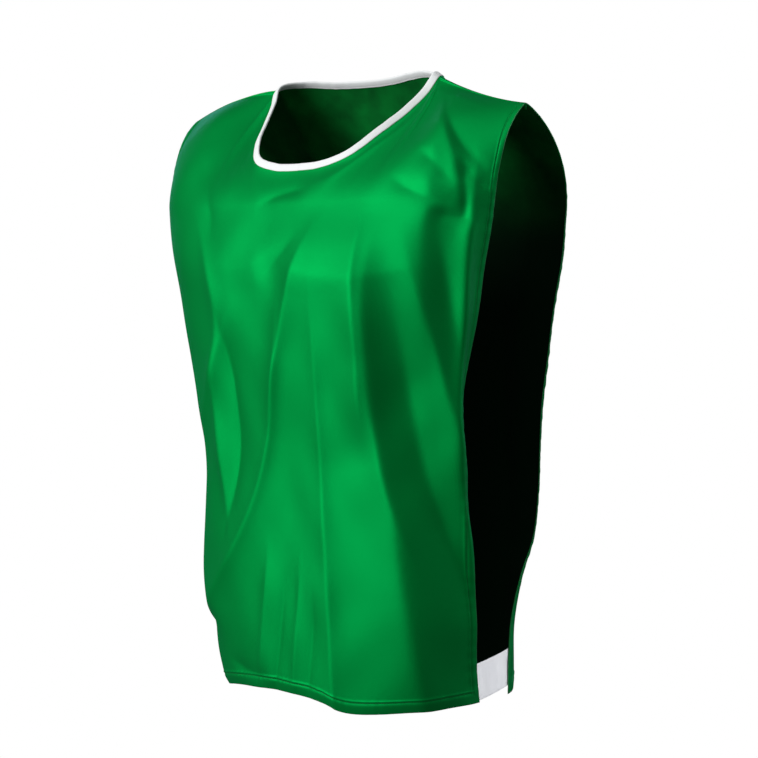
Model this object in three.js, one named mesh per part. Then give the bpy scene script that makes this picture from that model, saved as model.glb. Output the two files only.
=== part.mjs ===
// An open-sided training bib, filled out as if worn: a front and a back of light
// knitted cloth joined along the shoulders, a narrow white binding round the neck,
// and an elastic band at each side that holds the two hems together.
// Millimetres. +X is the wearer's left, -Y the front, +Z up. The origin lies midway
// between the two neck points, where the shoulders carry the bib.
import * as THREE from "three";

// Driving sizes
const BODY_LENGTH = 670; // from the neck points down to the side corners of the hem
const HALF_CUT = 240; // half of a panel's cut width
const NECK_HALF_WIDTH = 113;
const SHOULDER_HALF_WIDTH = 235;
const SHOULDER_DROP = 35; // from a neck point down to a shoulder tip
const SHOULDER_BOW = { left: -5, right: 6 }; // how far each seam arches at its middle
const FRONT_NECK_DROP = 99;
const BINDING_WIDTH = 9;
const BINDING_THICK = 3;
const BAND_HEIGHT = 40;
const BAND_THICK = 1.6;
const BAND_TUCK = 10; // how far a band's end runs under a panel
const BAND_RISE = 8; // how much higher a band sits at the back than at the front
const BAND_BULGE = 2; // how far a band stands out past a straight line between the panels
const WALL = 1.4;
const SEAM_GAP = 0.3;
const HEM_DEPTH = 15; // the turned hem at the bottom
const EDGE_HEM_DEPTH = 9; // the turned hem along each open side
const HEM_RAISE = 0.7; // how far the doubled cloth stands proud of the single cloth

// How finely the cloth is divided
const NECK_COLUMNS = 12; // from a panel's middle to the column under the neck point
const SHOULDER_COLUMNS = 8; // from there to the turned hem of the open side
const YOKE_ROWS = 10;
const BODY_ROWS = 24;
const BAND_ROWS = 4;
const BAND_STEPS = 4; // between two of the points that a band's path runs through

const NECK_SHARE = 0.52; // the share of a panel's half width that the neckline takes
const NECK_SPREAD = 1.3; // sets the columns closer together at the middle of the neckline
const SEAM_FADE = 26; // creases die out over this length below the neckline and shoulders

// The neck binding's middle line from the centre front to a neck point, and on to the
// centre back. Forward is towards -Y, drop is below the neck points, and skew is how
// much higher the line sits on the wearer's left than on average.
const NECK_FRONT = [
  { side: 0, forward: 95, drop: FRONT_NECK_DROP, skew: 0 },
  { side: 34, forward: 95, drop: 97, skew: 1 },
  { side: 65, forward: 89, drop: 87, skew: 2 },
  { side: 86, forward: 66, drop: 65, skew: 3 },
  { side: 100, forward: 38, drop: 43, skew: 3.5 },
  { side: 109, forward: 14, drop: 20, skew: 3 },
];
const NECK_BACK = [
  { side: NECK_HALF_WIDTH, forward: 0, drop: 1.5, skew: 2.5 },
  { side: 99, forward: -24, drop: -1.5, skew: 0 },
  { side: 60, forward: -41, drop: -3.5, skew: 3.5 },
  { side: 0, forward: -47, drop: -1, skew: 0 },
];
// The binding leans away from this point above the neck, as a collar does.
const NECK_APEX = new THREE.Vector3(0, -20, 80);

// Level sections of a panel: its half width to the wearer's left and to the right, and
// how far its edge and its middle stand out from the shoulder line, towards the side
// that the panel faces. Each crease runs from one place of the flat cut to another, side
// being across it and drop downwards. It fades out over its left and right width, and
// its lift is less than 0 for a trough.
const FRONT = {
  facing: -1,
  sections: [
    { drop: 140, left: 226, right: 228, edge: 45, middle: 118 },
    { drop: 190, left: 218, right: 217, edge: 47, middle: 131 },
    { drop: 240, left: 209, right: 204, edge: 47, middle: 131 },
    { drop: 300, left: 199, right: 191, edge: 46, middle: 126 },
    { drop: 350, left: 188, right: 180, edge: 46, middle: 122 },
    { drop: 400, left: 181, right: 171, edge: 45, middle: 119 },
    { drop: 440, left: 178, right: 170, edge: 41, middle: 118 },
    { drop: 510, left: 180, right: 179, edge: 33, middle: 118 },
    { drop: 580, left: 180, right: 180, edge: 24, middle: 119 },
    { drop: 620, left: 176, right: 170, edge: 17, middle: 119 },
    { drop: 690, left: 168, right: 161, edge: 0, middle: 118 },
  ],
  // How far the hem hangs below the side corners.
  hem: [
    { across: -1, dip: 3 },
    { across: -0.85, dip: 1 },
    { across: -0.6, dip: -4 },
    { across: -0.2, dip: -5 },
    { across: 0.1, dip: -1 },
    { across: 0.3, dip: 5 },
    { across: 0.45, dip: 14 },
    { across: 0.6, dip: 14 },
    { across: 0.8, dip: 8 },
    { across: 1, dip: 4 },
  ],
  // How a panel leaves the neckline and the shoulder: the pull at the start of a smooth
  // curve that runs down to the first section, by the share of the half width.
  falls: [
    { share: 0, left: 0, right: 0, out: 20, down: 42 },
    { share: 0.26, left: 0, right: 0, out: 22, down: 50 },
    { share: 0.52, left: 50, right: 50, out: 95, down: 130 },
    { share: 0.76, left: 0, right: 0, out: 150, down: 60 },
    { share: 1, left: -10, right: 24, out: 95, down: 70 },
  ],
  arrive: { out: 20, down: 110 },
  creases: [
    { side: 40, drop: 195, toSide: -45, toDrop: 450, bow: -9, left: 19, right: 22, lift: 5 },
    { side: -25, drop: 390, toSide: -165, toDrop: 590, bow: 13, left: 24, right: 28, lift: 7 },
    { side: 68, drop: 215, toSide: 86, toDrop: 690, bow: 0, left: 15, right: 15, lift: 3 },
    { side: 96, drop: 215, toSide: 158, toDrop: 520, bow: -8, left: 17, right: 28, lift: 5 },
    { side: 122, drop: 192, toSide: 222, toDrop: 640, bow: -8, left: 32, right: 17, lift: -11 },
    { side: 152, drop: 200, toSide: 226, toDrop: 470, bow: 0, left: 16, right: 17, lift: 5 },
    { side: 184, drop: 165, toSide: 214, toDrop: 370, bow: 0, left: 15, right: 15, lift: -6 },
    { side: -150, drop: 110, toSide: -118, toDrop: 345, bow: 14, left: 18, right: 18, lift: 4 },
    { side: -172, drop: 150, toSide: -164, toDrop: 370, bow: 0, left: 26, right: 28, lift: -7 },
    { side: -140, drop: 400, toSide: -178, toDrop: 580, bow: 0, left: 20, right: 22, lift: -6 },
    { side: -40, drop: 560, toSide: -52, toDrop: 700, bow: 0, left: 20, right: 22, lift: -5 },
    { side: 150, drop: 30, toSide: 212, toDrop: 112, bow: 10, left: 16, right: 16, lift: -4 },
  ],
};
const BACK = {
  facing: 1,
  sections: [
    { drop: 150, left: 222, right: 222, edge: 88, middle: 112 },
    { drop: 190, left: 216, right: 217, edge: 90, middle: 118 },
    { drop: 240, left: 207, right: 206, edge: 88, middle: 119 },
    { drop: 300, left: 199, right: 196, edge: 86, middle: 116 },
    { drop: 350, left: 191, right: 187, edge: 86, middle: 113 },
    { drop: 400, left: 187, right: 183, edge: 88, middle: 111 },
    { drop: 450, left: 185, right: 183, edge: 88, middle: 110 },
    { drop: 500, left: 182, right: 182, edge: 82, middle: 109 },
    { drop: 540, left: 180, right: 181, edge: 62, middle: 108 },
    { drop: 590, left: 179, right: 179, edge: 46, middle: 106 },
    { drop: 630, left: 182, right: 177, edge: 38, middle: 104 },
    { drop: 690, left: 184, right: 175, edge: 34, middle: 102 },
  ],
  hem: [
    { across: -1, dip: 1 },
    { across: -0.8, dip: -6 },
    { across: -0.4, dip: 0 },
    { across: 0.1, dip: 3 },
    { across: 0.5, dip: -4 },
    { across: 0.85, dip: -11 },
    { across: 1, dip: -2 },
  ],
  falls: [
    { share: 0, left: 0, right: 0, out: 75, down: 90 },
    { share: 0.26, left: 0, right: 0, out: 85, down: 88 },
    { share: 0.52, left: 25, right: 25, out: 115, down: 80 },
    { share: 0.76, left: 0, right: 0, out: 150, down: 62 },
    { share: 1, left: -8, right: 0, out: 176, down: 66 },
  ],
  arrive: { out: 12, down: 140 },
  creases: [
    { side: -52, drop: 170, toSide: -96, toDrop: 660, bow: 8, left: 20, right: 26, lift: 6 },
    { side: -84, drop: 220, toSide: -140, toDrop: 640, bow: 6, left: 18, right: 24, lift: -7 },
    { side: 34, drop: 190, toSide: 62, toDrop: 680, bow: -8, left: 24, right: 18, lift: 5 },
    { side: 72, drop: 200, toSide: 118, toDrop: 600, bow: -6, left: 26, right: 18, lift: -8 },
    { side: 128, drop: 230, toSide: 160, toDrop: 640, bow: 0, left: 18, right: 16, lift: 5 },
    { side: -8, drop: 300, toSide: -24, toDrop: 700, bow: 5, left: 22, right: 20, lift: -6 },
    { side: -168, drop: 130, toSide: -150, toDrop: 420, bow: 10, left: 20, right: 22, lift: -6 },
    { side: 176, drop: 90, toSide: 158, toDrop: 330, bow: -8, left: 20, right: 20, lift: -5 },
    { side: -190, drop: 430, toSide: -150, toDrop: 600, bow: 0, left: 16, right: 18, lift: 4 },
  ],
};

// Reads a column of a table at a place between its rows, along a smooth curve.
function read(table, key, column, at) {
  let i = 0;
  while (i < table.length - 2 && at > table[i + 1][key]) i += 1;
  const slope = (j) => {
    const a = table[Math.max(j - 1, 0)];
    const b = table[Math.min(j + 1, table.length - 1)];
    return (b[column] - a[column]) / (b[key] - a[key]);
  };
  const step = table[i + 1][key] - table[i][key];
  return hermite(
    table[i][column],
    slope(i) * step,
    table[i + 1][column],
    slope(i + 1) * step,
    (at - table[i][key]) / step,
  );
}

// The cubic from one value to another, with the given slopes at its ends.
function hermite(from, leave, to, arrive, t) {
  const t2 = t * t;
  const t3 = t2 * t;
  return (
    from * (2 * t3 - 3 * t2 + 1) +
    leave * (t3 - 2 * t2 + t) +
    to * (3 * t2 - 2 * t3) +
    arrive * (t3 - t2)
  );
}

// A half of the neckline as points, and the closed ring that both halves make.
const neckPoint = (row, mirror = 1) =>
  new THREE.Vector3(
    mirror * row.side,
    -row.forward,
    mirror * row.skew - row.drop,
  );
const neckHalf = [...NECK_FRONT, ...NECK_BACK];
const neckRing = new THREE.CatmullRomCurve3(
  [
    ...neckHalf.map((row) => neckPoint(row)),
    ...neckHalf
      .slice(1, -1)
      .reverse()
      .map((row) => neckPoint(row, -1)),
  ],
  true,
);
const RING_POINTS = 2 * neckHalf.length - 2;
const NECK_SIDE_AT = NECK_FRONT.length / RING_POINTS; // the left neck point on the ring
const CENTRE_BACK_AT = (neckHalf.length - 1) / RING_POINTS;

// The direction across the binding, in the cloth and away from the neck.
function leanAt(at) {
  const lean = neckRing.getPoint(at).sub(NECK_APEX);
  const along = neckRing.getTangent(at);
  return lean.addScaledVector(along, -lean.dot(along)).normalize();
}

// The direction through the binding, outwards.
const throughAt = (at) =>
  neckRing.getTangent(at).cross(leanAt(at)).normalize();

// The columns that start at the neckline, as shares of a panel's half width.
const neckShares = Array.from(
  { length: NECK_COLUMNS + 1 },
  (_, i) => (NECK_SHARE * i) / NECK_COLUMNS,
);

// The place on the ring over a column of a panel. Beyond the neck it stays at the
// neck point.
function ringAt(panel, across) {
  const share = Math.min(Math.abs(across), NECK_SHARE);
  const gone = (share / NECK_SHARE) ** NECK_SPREAD;
  const at =
    panel.facing < 0
      ? gone * NECK_SIDE_AT
      : CENTRE_BACK_AT - gone * (CENTRE_BACK_AT - NECK_SIDE_AT);
  return across < 0 ? 1 - at : at;
}

// The wearer's side that a column lies on.
const sideOf = (across) => (across < 0 ? "right" : "left");

// The top edge of a panel: its neckline, then its half of the shoulder seam.
function topEdge(panel, across) {
  const share = Math.abs(across);
  const below = BINDING_WIDTH / 2 + SEAM_GAP;
  const at = ringAt(panel, across);
  const start = neckRing.getPoint(at).addScaledVector(leanAt(at), below);
  if (share <= NECK_SHARE) return start;
  const gone = (share - NECK_SHARE) / (1 - NECK_SHARE);
  const side = Math.sign(across) * SHOULDER_HALF_WIDTH;
  start.lerp(new THREE.Vector3(side, 0, -SHOULDER_DROP), gone);
  start.z += SHOULDER_BOW[sideOf(across)] * 4 * gone * (1 - gone);
  return start;
}

// A point of a level section. The middle columns stand closer than the outer ones, so
// that they are evenly spaced along the curved cloth.
function sectionPoint(panel, across, drop) {
  const angle = (Math.PI / 2) * (0.6 * across + 0.4 * across ** 3);
  const edge = read(panel.sections, "drop", "edge", drop);
  const middle = read(panel.sections, "drop", "middle", drop);
  return new THREE.Vector3(
    read(panel.sections, "drop", sideOf(across), drop) * Math.sin(angle),
    panel.facing * (edge + (middle - edge) * Math.cos(angle)),
    -drop,
  );
}

// A point of the smooth cloth. Across runs from -1 to 1 over the width, and down from 0
// at the top edge through 1 at the first section to 2 at the hem.
function smoothPoint(panel, across, down) {
  const share = Math.abs(across);
  const yoke = panel.sections[0].drop;
  let point;
  if (down >= 1) {
    const hem = BODY_LENGTH + read(panel.hem, "across", "dip", across);
    point = sectionPoint(panel, across, yoke + (hem - yoke) * (down - 1));
  } else {
    const from = topEdge(panel, across);
    const to = sectionPoint(panel, across, yoke);
    const pull = (column) => read(panel.falls, "share", column, share);
    const reach = Math.min(1, from.distanceTo(to) / panel.arrive.down);
    point = new THREE.Vector3(
      hermite(from.x, Math.sign(across) * pull(sideOf(across)), to.x, 0, down),
      hermite(
        from.y,
        panel.facing * pull("out"),
        to.y,
        panel.facing * panel.arrive.out * reach,
        down,
      ),
      hermite(from.z, -pull("down"), to.z, -panel.arrive.down * reach, down),
    );
  }
  // At the shoulder seam the two panels stop just short of each other.
  if (share >= NECK_SHARE) {
    point.y += (panel.facing * SEAM_GAP * Math.max(0, 1 - down)) / 2;
  }
  return point;
}

// The outward direction of the smooth cloth.
function outward(panel, across, down) {
  const step = 0.004;
  const left = smoothPoint(panel, Math.max(-1, across - step), down);
  const right = smoothPoint(panel, Math.min(1, across + step), down);
  const above = smoothPoint(panel, across, Math.max(0, down - step));
  const below = smoothPoint(panel, across, Math.min(2, down + step));
  return right
    .sub(left)
    .cross(below.sub(above))
    .multiplyScalar(panel.facing)
    .normalize();
}

// How far the creases lift the cloth at a place in the flat cut.
function creaseLift(panel, side, drop) {
  let lift = 0;
  for (const crease of panel.creases) {
    const dx = crease.toSide - crease.side;
    const dz = crease.toDrop - crease.drop;
    const length = Math.hypot(dx, dz);
    const gone =
      ((side - crease.side) * dx + (drop - crease.drop) * dz) / length ** 2;
    if (gone <= 0 || gone >= 1) continue;
    const bow = crease.bow * 4 * gone * (1 - gone);
    const off =
      ((side - crease.side) * dz - (drop - crease.drop) * dx) / length - bow;
    const width = off > 0 ? crease.left : crease.right;
    const ends = Math.min(1, gone / 0.2, (1 - gone) / 0.2);
    const swell = ends * ends * (3 - 2 * ends);
    lift += crease.lift * swell * Math.exp(-((off / width) ** 2));
  }
  return lift;
}

// A point of the creased cloth's middle layer, and the direction through the cloth.
function clothPoint(panel, across, down) {
  const point = smoothPoint(panel, across, down);
  const normal = outward(panel, across, down);
  // A panel's top edge squarely faces the binding, then the other panel.
  if (down === 0) {
    const share = Math.abs(across);
    if (share <= NECK_SHARE) normal.copy(throughAt(ringAt(panel, across)));
    if (share >= NECK_SHARE) normal.setY(0).normalize();
  }
  const fromSeam = point.distanceTo(smoothPoint(panel, across, 0));
  const fade = THREE.MathUtils.smoothstep(fromSeam, 0, SEAM_FADE);
  const lift = fade * creaseLift(panel, across * HALF_CUT, -point.z);
  return { point: point.addScaledVector(normal, lift), normal };
}

// A closed wall over a grid of rows of places, each with its outer and inner point.
function wallGeometry(grid, closedRows = false) {
  const rows = grid.length;
  const columns = grid[0].length;
  const positions = [];
  for (const face of ["outer", "inner"]) {
    for (const row of grid) {
      for (const place of row) positions.push(...place[face].toArray());
    }
  }
  const outer = (r, c) => (r % rows) * columns + c;
  const inner = (r, c) => rows * columns + outer(r, c);
  const faces = [];
  const quad = (a, b, c, d) => faces.push(a, b, c, a, c, d);
  const lastRow = closedRows ? rows : rows - 1;
  for (let r = 0; r < lastRow; r += 1) {
    for (let c = 0; c < columns - 1; c += 1) {
      quad(outer(r, c), outer(r + 1, c), outer(r + 1, c + 1), outer(r, c + 1));
      quad(inner(r, c), inner(r, c + 1), inner(r + 1, c + 1), inner(r + 1, c));
    }
    quad(outer(r, 0), inner(r, 0), inner(r + 1, 0), outer(r + 1, 0));
    const c = columns - 1;
    quad(outer(r, c), outer(r + 1, c), inner(r + 1, c), inner(r, c));
  }
  if (!closedRows) {
    const r = rows - 1;
    for (let c = 0; c < columns - 1; c += 1) {
      quad(outer(0, c), outer(0, c + 1), inner(0, c + 1), inner(0, c));
      quad(outer(r, c), inner(r, c), inner(r, c + 1), outer(r, c + 1));
    }
  }
  const geometry = new THREE.BufferGeometry();
  geometry.setAttribute(
    "position",
    new THREE.Float32BufferAttribute(positions, 3),
  );
  geometry.setIndex(faces);
  geometry.computeVertexNormals();
  return geometry;
}

// Where a panel's rows and columns lie. The turned hems have their own.
function panelColumns() {
  const hem = 1 - EDGE_HEM_DEPTH / HALF_CUT;
  const half = neckShares.slice(1);
  for (let i = 1; i <= SHOULDER_COLUMNS; i += 1) {
    half.push(NECK_SHARE + ((hem - NECK_SHARE) * i) / SHOULDER_COLUMNS);
  }
  half.push(hem + 0.003, 1);
  return [...half.map((share) => -share).reverse(), 0, ...half];
}
function panelRows(panel) {
  const bodyLength = BODY_LENGTH - panel.sections[0].drop;
  const hem = HEM_DEPTH / bodyLength;
  const rows = [];
  for (let i = 0; i < YOKE_ROWS; i += 1) rows.push(i / YOKE_ROWS);
  for (let i = 0; i <= BODY_ROWS; i += 1) {
    rows.push(1 + ((1 - hem) * i) / BODY_ROWS);
  }
  rows.push(2 - hem + 0.002, 2);
  return rows;
}

// Whether a place lies on a turned hem, where the cloth is double.
function onHem(panel, across, down) {
  const bodyLength = BODY_LENGTH - panel.sections[0].drop;
  return (
    Math.abs(across) > 1 - EDGE_HEM_DEPTH / HALF_CUT + 0.001 ||
    down > 2 - HEM_DEPTH / bodyLength + 0.001
  );
}

function panelGeometry(panel) {
  const columns = panelColumns();
  if (panel.facing > 0) columns.reverse(); // keeps the faces pointing outwards
  return wallGeometry(
    panelRows(panel).map((down) =>
      columns.map((across) => {
        const { point, normal } = clothPoint(panel, across, down);
        const raise = onHem(panel, across, down) ? HEM_RAISE : 0;
        return {
          outer: point.clone().addScaledVector(normal, WALL / 2 + raise),
          inner: point.clone().addScaledVector(normal, -WALL / 2),
        };
      }),
    ),
  );
}

// The binding: a flat ring with rounded edges that leans away from the neck.
function bindingGeometry() {
  // Its steps are the panels' columns, so that both keep the same gap all round.
  const left = [
    ...neckShares.map((share) => ringAt(FRONT, share)),
    ...neckShares.map((share) => ringAt(BACK, share)).reverse(),
  ].filter((at, i, all) => i === 0 || at - all[i - 1] > 1e-6);
  const right = left.slice(1, -1).map((at) => 1 - at);
  const half = BINDING_WIDTH / 2;
  const thick = BINDING_THICK / 2;
  const section = [
    { across: -half, lift: 0.4 * thick },
    { across: -0.6 * half, lift: thick },
    { across: 0.6 * half, lift: thick },
    { across: half, lift: 0.4 * thick },
  ];
  const grid = [...left, ...right.reverse()].map((at) =>
    section.map(({ across, lift }) => {
      const place = neckRing.getPoint(at).addScaledVector(leanAt(at), across);
      return {
        outer: place.clone().addScaledVector(throughAt(at), lift),
        inner: place.clone().addScaledVector(throughAt(at), -lift),
      };
    }),
  );
  return wallGeometry(grid, true);
}

// The path of a side band at one height, from under the front to under the back.
function bandPath(mirror, height) {
  const under = WALL / 2 + SEAM_GAP + BAND_THICK / 2;
  const tucked = 1 - BAND_TUCK / HALF_CUT;
  const place = (panel, across) => {
    const yoke = panel.sections[0].drop;
    const rise = panel.facing > 0 ? height + BAND_RISE : height;
    const down = 2 - rise / (BODY_LENGTH - yoke);
    const { point, normal } = clothPoint(panel, mirror * across, down);
    return point.addScaledVector(normal, -under);
  };
  const ends = [
    place(FRONT, tucked),
    place(FRONT, 1),
    place(BACK, 1),
    place(BACK, tucked),
  ];
  const middle = ends[1].clone().lerp(ends[2], 0.5);
  middle.x += mirror * BAND_BULGE;
  return new THREE.CatmullRomCurve3([
    ends[0],
    ends[1],
    middle,
    ends[2],
    ends[3],
  ]);
}

function bandGeometry(mirror) {
  const grid = [];
  const clear = 1; // the band ends just above the edge of the hem
  for (let r = 0; r <= BAND_ROWS; r += 1) {
    const path = bandPath(mirror, clear + BAND_HEIGHT * (1 - r / BAND_ROWS));
    const row = [];
    const steps = 4 * BAND_STEPS;
    for (let i = 0; i <= steps; i += 1) {
      const at = mirror > 0 ? i / steps : 1 - i / steps;
      const middle = path.getPoint(at);
      const along = path.getTangent(at);
      const normal = new THREE.Vector3(-along.y, along.x, 0)
        .normalize()
        .multiplyScalar(-mirror * (BAND_THICK / 2));
      row.push({
        outer: middle.clone().add(normal),
        inner: middle.clone().sub(normal),
      });
    }
    grid.push(row);
  }
  return wallGeometry(grid);
}

const greenKnit = new THREE.MeshStandardMaterial({
  color: 0x00964a,
  roughness: 0.55,
  metalness: 0,
});
const whiteRib = new THREE.MeshStandardMaterial({
  color: 0xf2f3f2,
  roughness: 0.8,
  metalness: 0,
});
const whiteElastic = new THREE.MeshStandardMaterial({
  color: 0xe9e9ec,
  roughness: 0.75,
  metalness: 0,
});

const bib = new THREE.Group();
function add(name, geometry, material) {
  const mesh = new THREE.Mesh(geometry, material);
  mesh.name = name;
  bib.add(mesh);
}
add("front_panel", panelGeometry(FRONT), greenKnit);
add("back_panel", panelGeometry(BACK), greenKnit);
add("neck_binding", bindingGeometry(), whiteRib);
add("side_band_left", bandGeometry(1), whiteElastic);
add("side_band_right", bandGeometry(-1), whiteElastic);

export default bib;
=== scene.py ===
# %% [markdown]
# # An open-sided training bib in Blender
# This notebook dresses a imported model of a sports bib: a front and a back of green knit,
# a white rib binding round the neck, and a white elastic at each side of the hem. The
# bib is filled out as if somebody wore it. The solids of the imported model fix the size
# and the place of every piece. Here each piece gets its finer form, its sewing and its
# finish. The wearer's left is +X, the front faces -Y, and the origin lies midway between
# the two neck points.

import math

import bpy
import numpy as np
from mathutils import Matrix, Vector


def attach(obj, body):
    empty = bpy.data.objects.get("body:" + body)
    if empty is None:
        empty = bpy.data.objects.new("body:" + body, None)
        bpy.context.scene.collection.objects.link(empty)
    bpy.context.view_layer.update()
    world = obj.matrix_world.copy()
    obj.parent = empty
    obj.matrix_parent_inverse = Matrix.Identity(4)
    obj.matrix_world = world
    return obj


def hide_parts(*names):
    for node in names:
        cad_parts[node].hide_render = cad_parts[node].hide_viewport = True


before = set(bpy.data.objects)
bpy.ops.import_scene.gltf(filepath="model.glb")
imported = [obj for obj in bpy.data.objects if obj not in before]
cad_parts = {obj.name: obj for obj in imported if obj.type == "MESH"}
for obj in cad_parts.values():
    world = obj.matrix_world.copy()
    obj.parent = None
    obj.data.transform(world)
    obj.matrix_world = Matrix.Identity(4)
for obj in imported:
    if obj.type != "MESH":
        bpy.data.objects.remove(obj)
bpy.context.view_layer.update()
scene = bpy.context.scene
print("solids to dress:", sorted(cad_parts))

# %% [markdown]
# ## The camera
# The photograph was taken from a long way off with a narrow lens, level, a little below
# the chest, and 40 degrees round to the wearer's left. A narrow lens from four metres
# keeps the near and the far side of the bib at almost the same scale. Aiming the camera
# slightly past the bib frames it as in the photograph, so no lens shift is needed.

# %% Place the camera
CAMERA_AZIMUTH = math.radians(40)
CAMERA_DISTANCE = 4.0
CAMERA_HEIGHT = -0.300
FOCAL_PIXELS = 3628
IMAGE_PIXELS = 758
AIM_RIGHT = 0.0250
AIM_DOWN = 0.0287

to_right = Vector((math.cos(CAMERA_AZIMUTH), math.sin(CAMERA_AZIMUTH), 0))
towards = Vector((math.sin(CAMERA_AZIMUTH), -math.cos(CAMERA_AZIMUTH), 0))
camera_data = bpy.data.cameras.new("camera")
camera_data.sensor_width = 36
camera_data.lens = 36 * FOCAL_PIXELS / IMAGE_PIXELS
camera_data.clip_end = 60
camera = bpy.data.objects.new("camera", camera_data)
camera.location = CAMERA_DISTANCE * towards + Vector((0, 0, CAMERA_HEIGHT))
aim = AIM_RIGHT * to_right + Vector((0, 0, CAMERA_HEIGHT - AIM_DOWN))
camera.rotation_euler = (aim - camera.location).to_track_quat("-Z", "Y").to_euler()
scene.collection.objects.link(camera)
scene.camera = camera
print(f"lens {camera_data.lens:.0f} mm at {CAMERA_DISTANCE} m")

# %% [markdown]
# ## The cut
# A bib has no darts, so its form comes from where the cloth hangs: it leaves the neck and
# the shoulders, rounds over the chest or the shoulder blades, and falls to the hem. The
# tables below say that in level sections, in millimetres, and they are the ones that the
# solids were made from. Each section gives the half width to the wearer's left and right,
# and how far the edge and the middle of the panel stand out from the shoulder line. `hem`
# is how far the hem hangs below the body's length, and `falls` is how the cloth leaves the
# neckline and the shoulder, by the share of the half width.

# %% Sizes and sections in millimetres
BODY_LENGTH = 670
HALF_CUT = 240
SHOULDER_HALF_WIDTH = 235
SHOULDER_DROP = 35
SHOULDER_BOW = {"left": -5, "right": 6}
BINDING_WIDTH = 9
BINDING_CLEAR = 0.3
BAND_HEIGHT = 40
BAND_TUCK = 10
BAND_UNDER = 1.8
BAND_RISE = 8
BAND_BULGE = 2
NECK_SHARE = 0.52
NECK_SPREAD = 1.3
EVEN_SHARE = 0.6
SEAM_FADE = 26
CREASE_FADE = 0.35
ARRIVE = 120


def table(columns, *rows):
    """A small table as a dict of columns."""
    return {name: np.array(values, float) for name, values in zip(columns.split(), zip(*rows))}


NECK_LINE = table(
    "side forward drop skew",
    (0, 95, 99, 0),
    (34, 95, 97, 1),
    (65, 89, 87, 2),
    (86, 66, 65, 3),
    (100, 38, 43, 3.5),
    (109, 14, 20, 3),
    (113, 0, 1.5, 2.5),
    (99, -24, -1.5, 0),
    (60, -41, -3.5, 3.5),
    (0, -47, -1, 0),
)
NECK_SIDE_ROW = 6
FRONT = {
    "facing": -1,
    "sections": table(
        "drop left right edge middle",
        (140, 226, 228, 45, 118),
        (190, 218, 217, 47, 131),
        (240, 209, 204, 47, 131),
        (300, 199, 191, 46, 126),
        (350, 188, 180, 46, 122),
        (400, 181, 171, 45, 119),
        (440, 178, 170, 41, 118),
        (510, 180, 179, 33, 118),
        (580, 180, 180, 24, 119),
        (620, 176, 170, 17, 119),
        (690, 168, 161, 0, 118),
    ),
    "hem": table(
        "across dip",
        (-1, 3),
        (-0.85, 1),
        (-0.6, -4),
        (-0.2, -5),
        (0.1, -1),
        (0.3, 5),
        (0.45, 14),
        (0.6, 14),
        (0.8, 8),
        (1, 4),
    ),
    "falls": table(
        "share left right out down",
        (0, 0, 0, 20, 42),
        (0.26, 0, 0, 22, 50),
        (0.52, 50, 50, 95, 130),
        (0.76, 0, 0, 150, 60),
        (1, -10, 24, 95, 70),
    ),
}
BACK = {
    "facing": 1,
    "sections": table(
        "drop left right edge middle",
        (150, 222, 222, 88, 112),
        (190, 216, 217, 90, 118),
        (240, 207, 206, 88, 119),
        (300, 199, 196, 86, 116),
        (350, 191, 187, 86, 113),
        (400, 187, 183, 88, 111),
        (450, 185, 183, 88, 110),
        (500, 182, 182, 82, 109),
        (540, 180, 181, 62, 108),
        (590, 179, 179, 46, 106),
        (630, 182, 177, 38, 104),
        (690, 184, 175, 34, 102),
    ),
    "hem": table(
        "across dip",
        (-1, 1),
        (-0.8, -6),
        (-0.4, 0),
        (0.1, 3),
        (0.5, -4),
        (0.85, -11),
        (1, -2),
    ),
    "falls": table(
        "share left right out down",
        (0, 0, 0, 75, 90),
        (0.26, 0, 0, 85, 88),
        (0.52, 25, 25, 115, 80),
        (0.76, 0, 0, 150, 62),
        (1, -8, 0, 176, 66),
    ),
}

# %% [markdown]
# ## Creases
# Cloth that is carried at two shoulders falls into long soft folds. A simulation would
# find its own, so to follow the photograph each one is listed as a row in millimetres.
# It runs from one place in the flat cut to another, given by the distance to
# the wearer's left of the middle and the drop below the shoulder line, and may bow to one
# side. `left` and `right` say how far it spreads to either side, `round` how soft its
# crest is, and `lift` how high it stands. A lift under zero is a trough. The large folds
# fall from the chest, and the others are finer: pulls below the neck and the shoulder, a
# narrow fold at the wearer's right, and ripples at the hem.

# %% Creases of both panels
CREASE_COLUMNS = "side drop to_side to_drop bow left right round lift"
LARGE_FRONT_FOLDS = (
    (60, 140, -31, 390, 4, 26, 22, 2.5, 9),
    (8, 200, -247, 620, 78, 20, 34, 3, 10),
    (60, 120, 109, 880, -6, 28, 30, 2, 9.5),
    (108, 125, 132, 420, 0, 11, 50, 2, 9),
    (128, 150, 193, 560, -21, 20, 32, 4, 17),
    (154, 390, 221, 860, -8, 32, 40, 8, 19),
    (138, 170, 268, 640, -14, 16, 20, 7, -6),
    (148, 150, 334, 700, -2, 16, 22, 3, 12),
    (209, 60, 250, 660, -5, 8, 12, 3, 16),
    (240, 230, 240, 600, 0, 20, 24, 8, -8),
    (176, 140, 240, 372, 0, 14, 14, 5, -5),
    (155, -40, 185, 340, 0, 18, 60, 8, 11),
    (-270, 700, 90, 705, 0, 60, 40, 14, -9),
    (-150, 585, -250, 625, 0, 12, 12, 4, -6),
)
CHEST_FOLDS = (
    (-134, 199, 6, 183, -18, 26, 55, 6, 3.5),
    (-28, 185, 197, 202, -25, 34, 65, 5, 7),
    (36, 172, -35, 220, 4, 10, 10, 3, -2),
    (-51, 144, 33, 125, 6, 8, 8, 3, -2.5),
)
RIGHT_SIDE_FOLDS = (
    (-160, 120, -218, 400, 76, 20, 30, 3, 7),
    (-68, 230, -101, 520, -54, 14, 14, 3, 6),
    (-114, 230, -132, 520, 22, 14, 12, 3, -6),
    (-168, 73, -113, 186, 12, 8, 8, 3, -2),
)
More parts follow.
